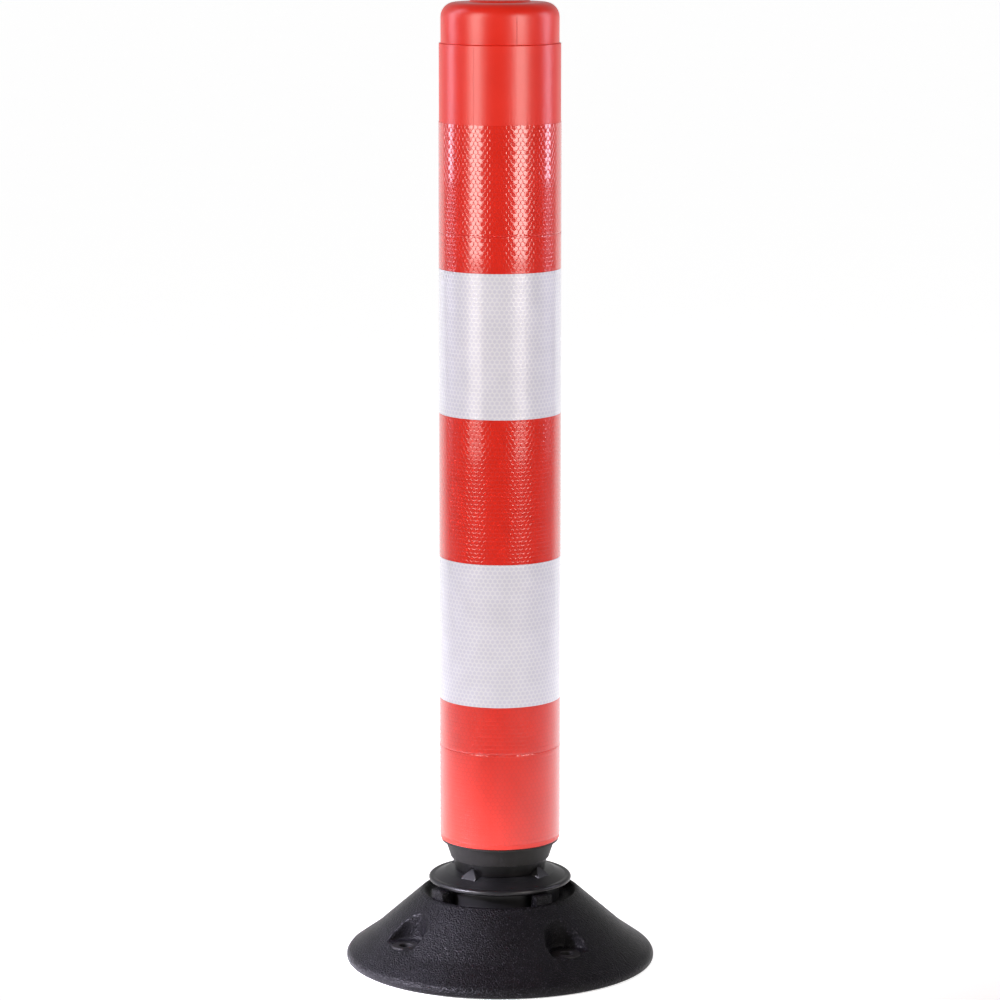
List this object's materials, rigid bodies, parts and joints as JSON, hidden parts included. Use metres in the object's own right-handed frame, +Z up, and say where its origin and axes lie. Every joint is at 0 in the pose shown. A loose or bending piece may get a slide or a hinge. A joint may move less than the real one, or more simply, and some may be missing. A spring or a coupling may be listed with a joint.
{
  "type": "delineator post",
  "caption": "Self-righting delineator post: banded reflective tube on a tapered neck and saucer, held down by an inner spring and cable to a bolt-down rubber base.",
  "frame": {"origin": "centre of the rubber base's underside, on the ground", "axes": "+Z up along the post; +X the way the post tips, midway between two locating teeth; the fixing holes lie at 26, 116, 206 and 296 degrees from +X"},
  "size_m": [0.26, 0.26, 0.805],
  "materials": {
    "base_rubber": "moulded, fine pebble grain",
    "black_plastic": "moulded, satin",
    "red_plastic": "satin",
    "red_sheeting": "clear film over honeycomb cells",
    "white_sheeting": "clear film over honeycomb cells",
    "zinc_steel": "zinc plated",
    "bush_steel": "black phosphated",
    "spring_steel": "oiled wire",
    "cable_steel": "galvanised strands",
    "guide_plastic": "natural acetal"
  },
  "bodies": {
    "base": {"rubber_base": "base_rubber", "bolt_bushes": "bush_steel", "bayonet_socket": "black_plastic"},
    "foot": {"saucer": "black_plastic", "cable_washer": "zinc_steel", "cable_stop": "zinc_steel", "tension_cable": "cable_steel"},
    "post": {"neck": "black_plastic", "cable_guide": "guide_plastic", "lower_spring_cup": "zinc_steel", "return_spring": "spring_steel", "post_tube": "red_plastic", "end_cap": "red_plastic", "reflective_band_1": "red_sheeting", "reflective_band_2": "white_sheeting", "reflective_band_3": "red_sheeting", "reflective_band_4": "white_sheeting", "reflective_band_5": "red_sheeting"},
    "tensioner": {"upper_spring_cup": "zinc_steel", "thrust_washer": "zinc_steel", "adjusting_nut": "zinc_steel", "lock_nut": "zinc_steel", "cable_stud": "zinc_steel"}
  },
  "joints": [
    {"name": "bayonet_turn", "type": "hinge", "parent": "base", "child": "foot", "pos_m": [0, 0, 0.062], "axis": [0, 0, 1], "range_deg": [0, 45]},
    {"name": "post_tilt", "type": "hinge", "parent": "foot", "child": "post", "pos_m": [0.0376, 0, 0.0785], "axis": [0, 1, 0], "range_deg": [0, 82], "stiffness_Nm_per_rad": 8, "springref_deg": -68.75, "deforming": ["tension_cable"]},
    {"name": "tension_slide", "type": "slide", "parent": "post", "child": "tensioner", "axis": [0, 0, 1], "range_m": [-0.0494, 0], "deforming": ["return_spring"]}
  ],
  "couplings": [
    {"joint": "tension_slide", "follows": "post_tilt", "m_per_rad": -0.034473}
  ]
}
